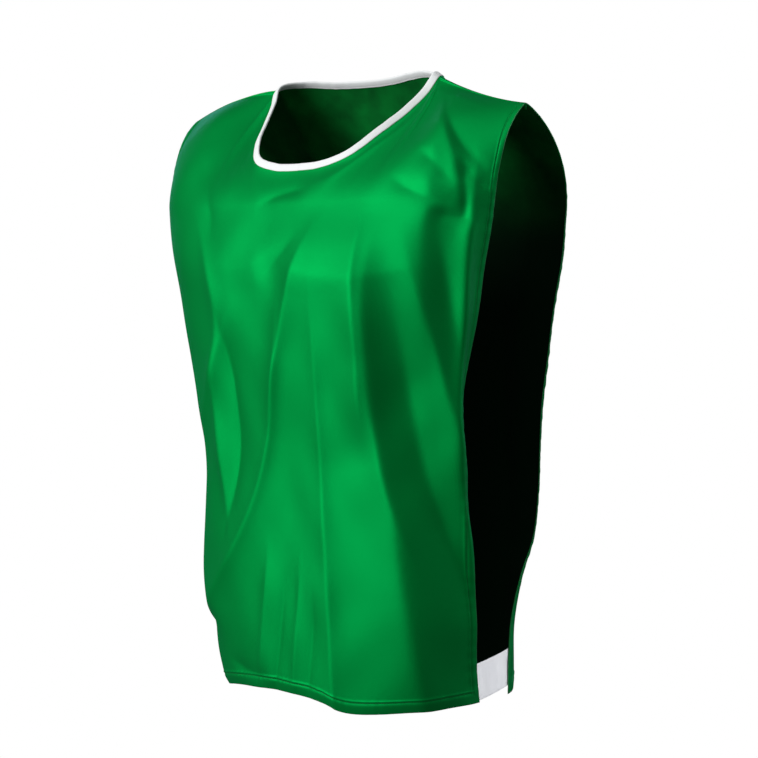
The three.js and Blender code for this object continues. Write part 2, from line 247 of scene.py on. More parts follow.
SHOULDER_PULLS = (
    (137, 18, 240, 123, -3, 8, 8, 3, -4.5),
    (129, 18, 203, 169, 18, 10, 8, 2.5, 5),
    (147, 88, 193, 129, 4, 7, 7, 2.5, -3.5),
    (126, 114, 197, 144, -4, 7, 7, 2.5, -3.5),
    (195, 85, 213, 173, -2, 8, 8, 2.5, -4.5),
    (173, 151, 219, 160, -1, 9, 9, 3, -3.5),
    (190, 99, 235, 130, -2, 6, 6, 2, -3),
)
HEM_RIPPLES = (
    (-34, 481, -85, 690, 14, 12, 9, 2.5, 2.5),
    (1, 523, -48, 700, 7, 9, 9, 3, -2.5),
    (31, 502, 2, 700, 8, 9, 9, 2.5, 2.5),
    (60, 544, 36, 700, 3, 9, 9, 3, -2.5),
    (-147, 633, -36, 650, -7, 10, 10, 3, -3),
)
FRONT["creases"] = table(
    CREASE_COLUMNS,
    *LARGE_FRONT_FOLDS,
    *CHEST_FOLDS,
    *RIGHT_SIDE_FOLDS,
    *SHOULDER_PULLS,
    *HEM_RIPPLES,
)
BACK["creases"] = table(
    CREASE_COLUMNS,
    (-46, 140, -104, 820, 10, 24, 30, 3, 9),
    (-80, 200, -150, 700, 6, 18, 24, 7, -8),
    (30, 150, 74, 860, -8, 28, 20, 3, 8),
    (72, 190, 128, 640, -6, 24, 18, 7, -9),
    (124, 200, 176, 700, 4, 18, 22, 3, 7),
    (-8, 280, -26, 800, 5, 22, 20, 6, -6),
    (-168, 120, -148, 440, 10, 16, 22, 4, -6),
    (176, 80, 156, 350, -8, 18, 16, 4, -5),
    (-200, 410, -140, 660, 0, 14, 18, 3, 6),
    (-150, 60, -60, 150, 8, 9, 9, 3, -3),
    (140, 50, 60, 160, -8, 10, 8, 3, 3.5),
    (-60, 205, 90, 212, -14, 20, 50, 5, 4),
    (-18, 560, -6, 700, 3, 9, 9, 3, 2.5),
    (96, 540, 118, 700, -4, 10, 9, 3, -3),
)
print("creases:", len(FRONT["creases"]["side"]), "front,", len(BACK["creases"]["side"]), "back")

# %% [markdown]
# ## From tables to a surface
# Between two rows a cubic runs with the slope that its neighbours suggest, so a few
# sections give a smooth body. The neckline is a closed curve through its points. From
# there and from the shoulder seam another cubic runs down to the first section. Its pull
# at the start says how the cloth rounds over the shoulder, and it ends with the slope that
# the body goes on with, so the two meet without a kink.


# %% Smooth reading
def hermite(start, leave, end, arrive, t):
    """The cubic from start to end with the given slopes at its ends."""
    t2, t3 = t * t, t * t * t
    return (
        start * (2 * t3 - 3 * t2 + 1)
        + leave * (t3 - 2 * t2 + t)
        + end * (3 * t2 - 2 * t3)
        + arrive * (t3 - t2)
    )


def read(rows, key, column, at):
    """A table's column at any place between and beyond its rows."""
    keys, values = rows[key], rows[column]
    i = np.clip(np.searchsorted(keys, at, "left") - 1, 0, len(keys) - 2)
    before, after = np.arange(len(keys)) - 1, np.arange(len(keys)) + 1
    before, after = before.clip(0), after.clip(None, len(keys) - 1)
    slope = (values[after] - values[before]) / (keys[after] - keys[before])
    step = keys[i + 1] - keys[i]
    t = (at - keys[i]) / step
    return hermite(values[i], slope[i] * step, values[i + 1], slope[i + 1] * step, t)


def unit(vectors):
    """Vectors of the same directions with a length of 1."""
    return vectors / np.linalg.norm(vectors, axis=-1, keepdims=True)


# %% [markdown]
# The neck curve is a centripetal spline, which passes through its points without loops,
# even where they are unevenly spaced. The binding leans away from a point above the neck,
# as a collar does, so its flat side faces up at the back and forward at the front.


# %% The neck curve
def neck_points():
    """The neckline's points, down the wearer's left and back along the right."""
    side, forward, drop, skew = NECK_LINE.values()
    left = np.stack([side, -forward, skew - drop], 1)
    right = np.stack([-side, -forward, -skew - drop], 1)
    return np.concatenate([left, right[-2:0:-1]])


NECK_POINTS = neck_points()
NECK_APEX = np.array([0.0, -20.0, 80.0])
NECK_SIDE_AT = NECK_SIDE_ROW / len(NECK_POINTS)
CENTRE_BACK_AT = 0.5


def spline(p, t):
    """The centripetal curve between the middle two of four points."""
    gap = [np.linalg.norm(p[k + 1] - p[k], axis=-1, keepdims=True) ** 0.5 for k in range(3)]
    leave = (p[1] - p[0]) / gap[0] - (p[2] - p[0]) / (gap[0] + gap[1]) + (p[2] - p[1]) / gap[1]
    arrive = (p[2] - p[1]) / gap[1] - (p[3] - p[1]) / (gap[1] + gap[2]) + (p[3] - p[2]) / gap[2]
    return hermite(p[1], leave * gap[1], p[2], arrive * gap[1], t)


def neck_curve(at):
    """Points of the neck curve, for places from 0 (centre front) through 1."""
    count = len(NECK_POINTS)
    place = np.asarray(at, float) * count
    i = np.floor(place).astype(int)
    return spline([NECK_POINTS[(i + k) % count] for k in (-1, 0, 1, 2)], (place - i)[..., None])


def neck_frame(at):
    """Along, across (away from the neck) and through the binding at places on the curve."""
    at = np.asarray(at, float)
    along = unit(neck_curve(at + 1e-4) - neck_curve(at - 1e-4))
    lean = neck_curve(at) - NECK_APEX
    lean = unit(lean - along * (lean * along).sum(-1, keepdims=True))
    return along, lean, unit(np.cross(along, lean))


def neck_place(panel, across):
    """The place on the neck curve over a column of a panel."""
    gone = (np.minimum(np.abs(across), NECK_SHARE) / NECK_SHARE) ** NECK_SPREAD
    if panel["facing"] < 0:
        at = gone * NECK_SIDE_AT
    else:
        at = CENTRE_BACK_AT - gone * (CENTRE_BACK_AT - NECK_SIDE_AT)
    return np.where(across < 0, 1 - at, at)


# %% The smooth cloth
def top_edge(panel, across):
    """The neckline, just below the binding, and the shoulder seam."""
    below = BINDING_WIDTH / 2 + BINDING_CLEAR
    share = np.abs(across)
    at = neck_place(panel, across)
    lean = neck_frame(at)[1]
    start = neck_curve(at) + lean * below
    gone = np.clip((share - NECK_SHARE) / (1 - NECK_SHARE), 0, 1)[..., None]
    level, lowered = np.zeros_like(across), np.full_like(across, -SHOULDER_DROP)
    tip = np.stack([np.sign(across) * SHOULDER_HALF_WIDTH, level, lowered], -1)
    edge = start * (1 - gone) + tip * gone
    bow = np.where(across < 0, SHOULDER_BOW["right"], SHOULDER_BOW["left"])
    edge[..., 2] += bow * 4 * gone[..., 0] * (1 - gone[..., 0])
    return edge


def section_point(panel, across, drop):
    """A point of a level section, which is a quarter of an ellipse to either side."""
    rows = panel["sections"]
    # Columns lie closer together in angle near the middle, where the bib is flattest
    angle = math.pi / 2 * (EVEN_SHARE * across + (1 - EVEN_SHARE) * across**3)
    edge, middle = read(rows, "drop", "edge", drop), read(rows, "drop", "middle", drop)
    half = np.where(across < 0, read(rows, "drop", "right", drop), read(rows, "drop", "left", drop))
    out = edge + (middle - edge) * np.cos(angle)
    return np.stack([half * np.sin(angle), panel["facing"] * out, -drop], -1)


def smooth_cloth(panel, across, down):
    """Down runs from 0 at the top edge through 1 at the first section to 2 at the hem."""
    across, down = np.broadcast_arrays(np.asarray(across, float), np.asarray(down, float))
    facing, rows = panel["facing"], panel["falls"]
    share = np.abs(across)
    yoke = panel["sections"]["drop"][0]
    hem = BODY_LENGTH + read(panel["hem"], "across", "dip", across)
    lower = section_point(panel, across, yoke + (hem - yoke) * np.maximum(down - 1, 0))
    start = top_edge(panel, across)
    end = section_point(panel, across, np.full_like(across, yoke))
    reach = np.minimum(1, np.linalg.norm(end - start, axis=-1) / ARRIVE)
    # The cloth arrives at the first section with the slope that it goes on with
    arrive = (section_point(panel, across, np.full_like(across, yoke + 1)) - end) * ARRIVE
    to_left, to_right = read(rows, "share", "left", share), -read(rows, "share", "right", share)
    leave = np.stack(
        [
            np.where(across < 0, to_right, to_left),
            facing * read(rows, "share", "out", share),
            -read(rows, "share", "down", share),
        ],
        -1,
    )
    t = np.minimum(down, 1)[..., None]
    upper = hermite(start, leave, end, arrive * reach[..., None], t)
    return np.where((down < 1)[..., None], upper, lower)


# %% [markdown]
# A crease lifts the cloth along its outward direction. The lift is greatest on the
# crease's line and falls off to both sides like a tent with a rounded ridge: steeply at
# first and then ever more softly. That gives the narrow lines of light that a satin knit
# shows. The lift also dies out over the crease's ends, and close to the neckline and the
# shoulder seam, where the sewing holds the cloth flat.


# %% The creased cloth
def outward(panel, across, down):
    """Which way a panel's outside faces at places of the smooth cloth."""
    step = 0.004
    left = smooth_cloth(panel, np.maximum(-1, across - step), down)
    right = smooth_cloth(panel, np.minimum(1, across + step), down)
    above = smooth_cloth(panel, across, np.maximum(0, down - step))
    beneath = smooth_cloth(panel, across, np.minimum(2, down + step))
    return unit(np.cross(right - left, beneath - above)) * panel["facing"]


def crease_lift(panel, side, drop):
    """How far the creases lift the cloth at places of the flat cut."""
    total = np.zeros_like(side)
    rows = panel["creases"]
    for k in range(len(rows["side"])):
        row = {name: values[k] for name, values in rows.items()}
        dx, dz = row["to_side"] - row["side"], row["to_drop"] - row["drop"]
        length = math.hypot(dx, dz)
        gone = ((side - row["side"]) * dx + (drop - row["drop"]) * dz) / length**2
        bow = row["bow"] * 4 * gone * (1 - gone)
        off = ((side - row["side"]) * dz - (drop - row["drop"]) * dx) / length - bow
        width = np.where(off > 0, row["left"], row["right"])
        ends = np.clip(np.minimum(gone, 1 - gone) / CREASE_FADE, 0, 1)
        swell = ends * ends * (3 - 2 * ends)
        away = np.sqrt(off**2 + row["round"] ** 2) - row["round"]
        total += row["lift"] * swell * np.exp(-away / width)
    return total


def smoothstep(x, low, high):
    """A soft step from 0 at the low value to 1 at the high one."""
    t = np.clip((x - low) / (high - low), 0, 1)
    return t * t * (3 - 2 * t)


def cloth(panel, across, down):
    """Points of the creased cloth, and its outward direction before creasing."""
    across, down = np.broadcast_arrays(np.asarray(across, float), np.asarray(down, float))
    point = smooth_cloth(panel, across, down)
    normal = outward(panel, across, down)
    top = smooth_cloth(panel, across, np.zeros_like(down))
    fade = smoothstep(np.linalg.norm(point - top, axis=-1), 0, SEAM_FADE)
    lift = fade * crease_lift(panel, across * HALF_CUT, -point[..., 2])
    return point + normal * lift[..., None], normal


# %% [markdown]
# ## Cloth with two faces
# Each panel is drawn as a real thin layer with an outside, an inside and soft edges, so
# that it can be looked at from anywhere. The grid of places is about two millimetres wide
# in the open cloth and much finer near the edges, where the turned hem, its fold and the
# furrow that the stitches pull into it need room. The bottom hem also curls inwards a
# little. A long-wave unevenness from a fixed seed keeps the broad faces from looking like
# moulded plastic.

# %% Sizes of the cloth and its hems
CLOTH_STEP = 2.25
YOKE_ROWS = 62
YOKE_CROWDING = 1.12
INSIDE_STEP = 2
CLOTH_OUT = 0.55
CLOTH_IN = 0.35
HEM_DEPTH = 15
HEM_STITCH = 12.5
EDGE_HEM_DEPTH = 9
EDGE_STITCH = 7
HEM_RAISE = 0.65
HEM_RAISE_ENDS = (-0.4, 0.8)
FURROW_DEPTH = 0.8
FURROW_WIDTH = 1.15
HEM_CURL = 3.5
CURL_CORNERS = (8, 34)
QUIET_TOP = (4, 50)
PUCKER_WAVE = 11
PUCKER_DEPTH = 0.3
PUCKER_REACH = 4.5
FOLD_PUCKER_REACH = 5
FOLD_PUCKER_SHARE = 0.35
FOLD_RADIUS = 0.9
SLOT_PLACES = (1.0, 2.2, 3.4, 4.3)
SEAM_OUT = 0.62
SEAM_PROFILE = ((0.62, 7), (0.62, 3.6), (0.62, 1.4), (0.66, 0.4))


def graded(fine, coarse_step, length):
    """Distances from an edge: the fine ones, then even steps up to a length."""
    fine = [f for f in fine if f < length]
    steps = max(1, round((length - fine[-1]) / coarse_step))
    return np.concatenate([fine, np.linspace(fine[-1], length, steps + 1)[1:]])


SIDE_FINE = [0, 0.3, 0.8, 1.6, 2.8, 4.2, 5.4, 6.0, 6.5, 7.0, 7.5, 8.0, 8.7, 9.3, 10.2, 12]
HEM_FINE = [0, 0.3, 0.8, 1.6, 3, 5, 7, 9, 10.6, 11.5, 12, 12.5, 13, 13.5, 14.3, 15, 15.8, 17.5, 20]


def panel_places(panel):
    """Where a panel's columns and rows lie."""
    half = 1 - graded(SIDE_FINE, CLOTH_STEP, HALF_CUT)[::-1] / HALF_CUT
    columns = np.concatenate([-half[:0:-1], half])
    body = BODY_LENGTH - panel["sections"]["drop"][0]
    lower = 2 - graded(HEM_FINE, CLOTH_STEP, body)[::-1] / body
    # An odd number of rows in all, so that every second one ends at the hem
    above = YOKE_ROWS + (len(lower) + len(SLOT_PLACES)) % INSIDE_STEP
    upper = np.linspace(0, 1, above + 2)[:-1] ** YOKE_CROWDING
    return columns, np.concatenate([upper, lower])


def undulation(seed, side, along):
    """Soft unevenness, in millimetres, with waves of 60 to 130 mm."""
    rng = np.random.default_rng(seed)
    total = np.zeros_like(side)
    for _ in range(16):
        wave = rng.uniform(60, 130)
        heading = rng.uniform(-0.9, 0.9)
        phase = rng.uniform(0, 2 * math.pi)
        place = side * math.cos(heading) + along * math.sin(heading)
        total += rng.uniform(0.1, 0.28) * np.sin(2 * math.pi * place / wave + phase)
    return total


# %% [markdown]
# A hem is a folded edge held down by a line of stitches. The stitches pull the cloth into
# a furrow. Between the furrow and the fold the cloth is double and stands a little proud,
# and it puckers, because the thread is a touch shorter than the cloth. The puckers are
# short waves along the edge that are strongest beside the stitches.


# %% The relief of a turned hem
def puckers(seed, along, wave, depth):
    """Uneven short waves along an edge, in millimetres."""
    rng = np.random.default_rng(seed)
    total = np.zeros_like(along)
    for _ in range(7):
        length = wave * rng.uniform(0.65, 1.7)
        total += rng.uniform(0.4, 1) * np.sin(2 * math.pi * along / length + rng.uniform(0, 6.3))
    return total * depth / 3


def hem_relief(distance, along, depth, stitch, seed):
    """How far a hem stands proud at a distance from its edge."""
    ends = [depth + beyond for beyond in HEM_RAISE_ENDS]
    raised = HEM_RAISE * (1 - smoothstep(distance, *ends))
    furrow = FURROW_DEPTH * np.exp(-(((distance - stitch) / FURROW_WIDTH) ** 2))
    beside_stitches = np.exp(-(((distance - stitch) / PUCKER_REACH) ** 2))
    at_fold = FOLD_PUCKER_SHARE * np.exp(-((distance / FOLD_PUCKER_REACH) ** 2))
    near = beside_stitches + at_fold
    return raised - furrow + near * puckers(seed, along, PUCKER_WAVE, PUCKER_DEPTH)


def arc_length(points, axis):
    """Running length along one axis of a grid of points."""
    steps = np.linalg.norm(np.diff(points, axis=axis), axis=-1)
    start = np.zeros_like(np.take(steps, [0], axis))
    return np.concatenate([start, np.cumsum(steps, axis)], axis)


def grid_normals(points):
    """Unit normals of a grid of points, across its rows and columns."""
    return unit(np.cross(np.gradient(points, axis=1), np.gradient(points, axis=0)))


# %% [markdown]
# At the neck the cloth runs on into the fold of the binding. At the shoulder the two
# panels are sewn right sides together, so each of them turns down inside along the seam
# and leaves a narrow allowance there. Both are a few more rows above the top edge.


# %% Rows beyond the top edge
def top_rows(panel, columns):
    """Rows of points beyond a panel's top edge, the last one nearest to it."""
    at = neck_place(panel, columns)
    lean = neck_frame(at)[1]
    edge = top_edge(panel, columns)
    beyond = np.abs(columns) > NECK_SHARE
    grows = smoothstep(np.abs(columns), NECK_SHARE, NECK_SHARE + 0.05) * 0.96 + 0.04
    rows = []
    for slot, (out, below) in zip(SLOT_PLACES, SEAM_PROFILE):
        under_binding = neck_curve(at) + lean * slot
        allowance = edge.copy()
        allowance[:, 1] = panel["facing"] * out
        allowance[:, 2] -= below * grows
        rows.append(np.where(beyond[:, None], allowance, under_binding))
    return np.stack(rows)


# %% Shape a panel
def shape_panel(panel, seed):
    """The outer and inner faces of a panel as grids, with their cloth coordinates."""
    columns, rows = panel_places(panel)
    across, down = np.meshgrid(columns, rows)
    middle, _ = cloth(panel, across, down)
    # Keep the panels apart along the shoulder seam
    seam = np.abs(across) > NECK_SHARE
    apart = panel["facing"] * np.sqrt(middle[..., 1] ** 2 + SEAM_OUT**2)
    middle[..., 1] = np.where(seam, apart, middle[..., 1])
    extra = top_rows(panel, columns)
    middle = np.concatenate([extra, middle])
    across = np.concatenate([across[: len(extra)], across])
    run = arc_length(middle, 0)
    along = run[-1:] - run
    from_top = run - run[len(extra)]
    side = across * HALF_CUT
    to_side = np.minimum(side + HALF_CUT, HALF_CUT - side)
    normal = grid_normals(middle) * panel["facing"]
    quiet = smoothstep(from_top, *QUIET_TOP)
    curl = HEM_CURL * (1 - np.minimum(along / HEM_DEPTH, 1)) ** 1.5
    curl = curl * smoothstep(to_side, *CURL_CORNERS)
    middle = middle + normal * (quiet * undulation(seed, side, along) - curl)[..., None]
    normal = grid_normals(middle) * panel["facing"]
    relief = hem_relief(along, side, HEM_DEPTH, HEM_STITCH, seed + 1)
    for mirror, extra_seed in ((-1, 2), (1, 3)):
        edge = hem_relief(to_side, along, EDGE_HEM_DEPTH, EDGE_STITCH, seed + extra_seed)
        edge = np.where(side * mirror > 0, edge, 0)
        relief = np.where(np.abs(relief) > np.abs(edge), relief, edge)
    relief = relief * smoothstep(from_top, 0, 3)
    fold = np.minimum(along, to_side).clip(0, FOLD_RADIUS) / FOLD_RADIUS
    thick = 0.12 + 0.88 * np.sqrt(1 - (1 - fold) ** 2)
    return {
        "columns": columns,
        "rows": np.concatenate([-np.arange(len(extra), 0, -1) * 1e-3, rows]),
        "outer": middle + normal * ((CLOTH_OUT + relief) * thick)[..., None],
        "inner": middle - normal * ((CLOTH_IN + 0.25 * relief.clip(0)) * thick)[..., None],
        "normal": normal,
        "middle": middle,
        "chart": np.stack([side, along], -1),
    }


front_cloth = shape_panel(FRONT, 11)
back_cloth = shape_panel(BACK, 31)
for name, shaped in (("front", front_cloth), ("back", back_cloth)):
    print(name, "grid", shaped["outer"].shape[:2])

# %% [markdown]
# ## A shell from two grids
# The outer and the inner grid are joined along their rims into one closed skin. The
# inside is seen less, so it may take only every second row and column; each face of the
# rim then has two edges outside for one inside. The outside and the rims take the first
# material, and the inside the second. The cloth coordinates, in metres along and across
# the cut, become the UV map, so that the knit follows the cloth round every fold.


# %% Build a wall
def add_mesh(name, points, faces, slots, charts, materials):
    """A mesh object at the origin from points in millimetres and charts in millimetres."""
    mesh = bpy.data.meshes.new(name)
    mesh.from_pydata((points / 1000).tolist(), [], faces)
    mesh.polygons.foreach_set("material_index", slots)
    mesh.polygons.foreach_set("use_smooth", np.ones(len(faces), bool))
    loops = np.empty(len(mesh.loops), np.int32)
    mesh.loops.foreach_get("vertex_index", loops)
    uv = mesh.uv_layers.new(name="cloth")
    uv.data.foreach_set("uv", (charts[loops] / 1000).ravel())
    for material in materials:
        mesh.materials.append(material)
    mesh.update()
    made = bpy.data.objects.new(name, mesh)
    scene.collection.objects.link(made)
    print(f"{name}: {len(mesh.vertices)} points, {len(mesh.polygons)} faces")
    return made


def border(index):
    """The places round the edge of a grid, once round, for the two skins to join along."""
    return np.concatenate([index[0, :-1], index[:-1, -1], index[-1, :0:-1], index[:0:-1, 0]])


def quads(index):
    """The four corners of every cell of a grid."""
    corners = index[:-1, :-1], index[1:, :-1], index[1:, 1:], index[:-1, 1:]
    return np.stack([corner.ravel() for corner in corners], 1)


def wall_faces(rows, columns, step, reverse):
    """Faces of a wall over a grid, the inside coarser than the outside, and their slots."""
    outer = np.arange(rows * columns).reshape(rows, columns)
    inner_rows, inner_columns = (rows - 1) // step + 1, (columns - 1) // step + 1
    inner = rows * columns + np.arange(inner_rows * inner_columns).reshape(inner_rows, -1)
    edge, behind = border(outer), border(inner)
    faces = quads(outer).tolist() + quads(inner)[:, ::-1].tolist()
    slots = [0] * ((rows - 1) * (columns - 1)) + [1] * ((inner_rows - 1) * (inner_columns - 1))
    for k in range(len(behind)):
        near = [int(edge[(k * step + j) % len(edge)]) for j in range(step + 1)]
        faces.append(near + [int(behind[(k + 1) % len(behind)]), int(behind[k])])
        slots.append(0)
    return ([face[::-1] for face in faces] if reverse else faces), slots


def add_wall(name, grids, reverse, materials, step=1):
    """A closed wall from its outer grid, its inner grid and its cloth coordinates."""
    outer, inner, chart = grids
    faces, slots = wall_faces(*outer.shape[:2], step, reverse)
    inside = inner[::step, ::step].reshape(-1, 3)
    points = np.concatenate([outer.reshape(-1, 3), inside])
    charts = np.concatenate([chart.reshape(-1, 2), chart[::step, ::step].reshape(-1, 2)])
    return add_mesh(name, points, faces, slots, charts, materials)


# %% [markdown]
# ## Finishes
# The knit is polyester: a saturated green with a soft satin gleam that is itself green,
# because the light reaches the eye through the coloured fibres. So it is partly metallic,
# with a broad highlight. Its loops are far smaller than the folds, so they are a fine
# bump. They are drawn from two waves on the cloth coordinates: wales that run down the
# cloth, and courses that zigzag between them. The reverse is matt, and its colour is
# painted shade: very dark, as the inside of the worn bib is in the shade, and painted
# light towards the neck, greener where light comes in.


# %% Helpers for materials
def new_material(name, settings):
    """A material with one Principled shader and its settings."""
    material = bpy.data.materials.new(name)
    material.use_nodes = True
    tree = material.node_tree
    tree.nodes.clear()
    out = tree.nodes.new("ShaderNodeOutputMaterial")
    shader = tree.nodes.new("ShaderNodeBsdfPrincipled")
    for socket, value in settings.items():
        shader.inputs[socket].default_value = value
    tree.links.new(shader.outputs["BSDF"], out.inputs["Surface"])
    return material, tree, shader


def math_node(tree, operation, *values):
    """The result of a maths node whose inputs are numbers or other nodes' results."""
    node = tree.nodes.new("ShaderNodeMath")
    node.operation = operation
    for socket, value in zip(node.inputs, values):
        if isinstance(value, (int, float)):
            socket.default_value = value
        else:
            tree.links.new(value, socket)
    return node.outputs[0]


def cloth_coordinates(tree):
    """Across and along the cloth, in millimetres."""
    uv = tree.nodes.new("ShaderNodeUVMap")
    uv.uv_map = "cloth"
    split = tree.nodes.new("ShaderNodeSeparateXYZ")
    tree.links.new(uv.outputs["UV"], split.inputs[0])
    return (
        math_node(tree, "MULTIPLY", split.outputs["X"], 1000),
        math_node(tree, "MULTIPLY", split.outputs["Y"], 1000),
    )


def wave(tree, place, pitch):
    """A cosine of a place in millimetres."""
    turns = math_node(tree, "MULTIPLY", place, 2 * math.pi / pitch)
    return math_node(tree, "COSINE", turns)


def knit_height(tree, wale, course):
    """Loops of a knit: wales along the cloth and courses that zigzag between them."""
    across, along = cloth_coordinates(tree)
    wales = wave(tree, across, wale)
    lean = math_node(tree, "PINGPONG", across, wale / 2)
    courses = wave(tree, math_node(tree, "ADD", along, lean), course)
    return math_node(tree, "ADD", wales, math_node(tree, "MULTIPLY", courses, 0.6))


def add_bump(tree, shader, height, depth):
    """Bump of a height signal of about -1 to 1, with its depth in metres."""
    bump = tree.nodes.new("ShaderNodeBump")
    bump.inputs["Strength"].default_value = 1
    bump.inputs["Distance"].default_value = depth
    tree.links.new(height, bump.inputs["Height"])
    tree.links.new(bump.outputs["Normal"], shader.inputs["Normal"])


def noise_over_piece(tree, scale, detail):
    """Soft noise in the piece's own space, from 0 to 1."""
    place = tree.nodes.new("ShaderNodeTexCoord")
    noise = tree.nodes.new("ShaderNodeTexNoise")
    noise.inputs["Scale"].default_value = scale
    noise.inputs["Detail"].default_value = detail
    tree.links.new(place.outputs["Object"], noise.inputs["Vector"])
    return noise.outputs["Fac"]


def blend_colour(tree, shader, low, high, share):
    """A base colour between two others."""
    mix = tree.nodes.new("ShaderNodeMix")
    mix.data_type = "RGBA"
    mix.inputs["A"].default_value = (*low, 1)
    mix.inputs["B"].default_value = (*high, 1)
    tree.links.new(share, mix.inputs["Factor"])
    tree.links.new(mix.outputs["Result"], shader.inputs["Base Color"])


def vary_colour(tree, shader, low, high, scale):
    """A slow drift between two close colours over the piece."""
    blend_colour(tree, shader, low, high, noise_over_piece(tree, scale, 2))


# %% The green knit, its reverse and its thread
WALE_PITCH = 0.95
COURSE_PITCH = 0.75
# Heights over which the inside's painted light fades in towards the neck
NECK_LIGHT = {"From Min": -0.19, "From Max": -0.03}


def green_knit():
    """The outside of the knit, a satin green with a green gleam."""
    satin = {"Metallic": 0.72, "Roughness": 0.58}
    gleam = {"Specular IOR Level": 0.7, "Specular Tint": (0.0, 0.5, 1.0, 1)}
    material, tree, shader = new_material("green_knit", satin | gleam)
    vary_colour(tree, shader, (0.0, 0.32, 0.043), (0.0, 0.36, 0.053), scale=9)
    add_bump(tree, shader, knit_height(tree, WALE_PITCH, COURSE_PITCH), depth=0.00002)
    return material


def knit_reverse():
    """The inside of the knit in painted shade, dark below, with painted light greener near the neck."""
    matt = {"Roughness": 0.85, "Specular IOR Level": 0.08}
    material, tree, shader = new_material("green_knit_reverse_painted_shade", matt)
    place = tree.nodes.new("ShaderNodeTexCoord")
    split = tree.nodes.new("ShaderNodeSeparateXYZ")
    tree.links.new(place.outputs["Object"], split.inputs[0])
    near_neck = tree.nodes.new("ShaderNodeMapRange")
    near_neck.interpolation_type = "SMOOTHSTEP"
    for socket, height in NECK_LIGHT.items():
        near_neck.inputs[socket].default_value = height
    tree.links.new(split.outputs["Z"], near_neck.inputs["Value"])
    mottle = noise_over_piece(tree, 28, 3)
    lit = math_node(tree, "MULTIPLY", near_neck.outputs["Result"], mottle)
    # Painted shade: near black inside, with painted light, greener and mottled, towards the neck
    blend_colour(tree, shader, (0.0, 0.016, 0.004), (0.0, 0.27, 0.035), lit)
    add_bump(tree, shader, knit_height(tree, WALE_PITCH, COURSE_PITCH), depth=0.00003)
    return material


def thread(name, colour):
    """Sewing thread, mottled between its colour and a slightly darker one."""
    material, tree, shader = new_material(name, {"Roughness": 0.5})
    dark = tuple(0.85 * value for value in colour)
    vary_colour(tree, shader, dark, colour, scale=300)
    return material


GREEN_KNIT = green_knit()
KNIT_REVERSE_PAINTED_SHADE = knit_reverse()
GREEN_THREAD = thread("green_thread", (0.002, 0.17, 0.035))
PALE_THREAD = thread("pale_thread", (0.14, 0.40, 0.22))
WHITE_THREAD = thread("white_thread", (0.82, 0.83, 0.84))
print("green finishes:", GREEN_KNIT.name, KNIT_REVERSE_PAINTED_SHADE.name)

# %% [markdown]
# The binding is a strip of white rib, and the bands are a woven elastic. The rib's fine
# ridges run across the strip. The elastic has cords along its length, with a thread woven
# over and under them, so its face is a small basket of short floats.


# %% The white rib and the white elastic
RIB_PITCH = 1.3
RIB_LOOP = 0.8
FLOAT_PITCH = 1.1
BAND_CORD = 1.6


def white_rib():
    """The binding's rib, with ridges across the strip."""
    soft = {"Roughness": 0.75, "Specular IOR Level": 0.25, "Sheen Weight": 0.2}
    material, tree, shader = new_material("white_rib", soft)
    vary_colour(tree, shader, (0.90, 0.93, 0.93), (0.94, 0.96, 0.96), scale=30)
    along, across = cloth_coordinates(tree)
    ribs = wave(tree, along, RIB_PITCH)
    loops = math_node(tree, "MULTIPLY", wave(tree, across, RIB_LOOP), 0.4)
    add_bump(tree, shader, math_node(tree, "ADD", ribs, loops), depth=0.00006)
    return material


def white_elastic():
    """The bands' elastic, with thread woven over and under its cords."""
    smooth = {"Roughness": 0.6, "Specular IOR Level": 0.35}
    material, tree, shader = new_material("white_elastic", smooth)
    vary_colour(tree, shader, (0.66, 0.67, 0.71), (0.72, 0.73, 0.76), scale=30)
    along, up = cloth_coordinates(tree)
    cords = wave(tree, up, BAND_CORD)
    floats = math_node(tree, "MULTIPLY", wave(tree, along, FLOAT_PITCH), cords)
    add_bump(tree, shader, floats, depth=0.00005)
    return material


WHITE_RIB = white_rib()
WHITE_ELASTIC = white_elastic()
print("white finishes:", WHITE_RIB.name, WHITE_ELASTIC.name)

# %% [markdown]
# ## The two panels
# Each panel replaces its solid as a thin sheet of cloth. Its flat area is smaller than the
# rectangle that it is cut from, because the neck is cut out.


def dress(piece, node):
    """Let a piece ride with the bib, in place of its solid."""
    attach(piece, "root")
    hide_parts(node)


def dress_panel(name, node, shaped, reverse):
    """A panel as a wall of cloth, in place of its solid."""
    grids = shaped["outer"], shaped["inner"], shaped["chart"]
    piece = add_wall(name, grids, reverse, [GREEN_KNIT, KNIT_REVERSE_PAINTED_SHADE], INSIDE_STEP)
    dress(piece, node)
    return piece


front = dress_panel("front_of_green_knit", "front_panel", front_cloth, False)
back = dress_panel("back_of_green_knit", "back_panel", back_cloth, True)

# %% [markdown]
# ## The neck binding
# A binding is a strip folded over the raw edge, so its section is a narrow U with the
# cloth between its legs. One closed outline of that U is swept round the neck curve. It
# bulges a little between the stitches that hold it, and a furrow follows them.

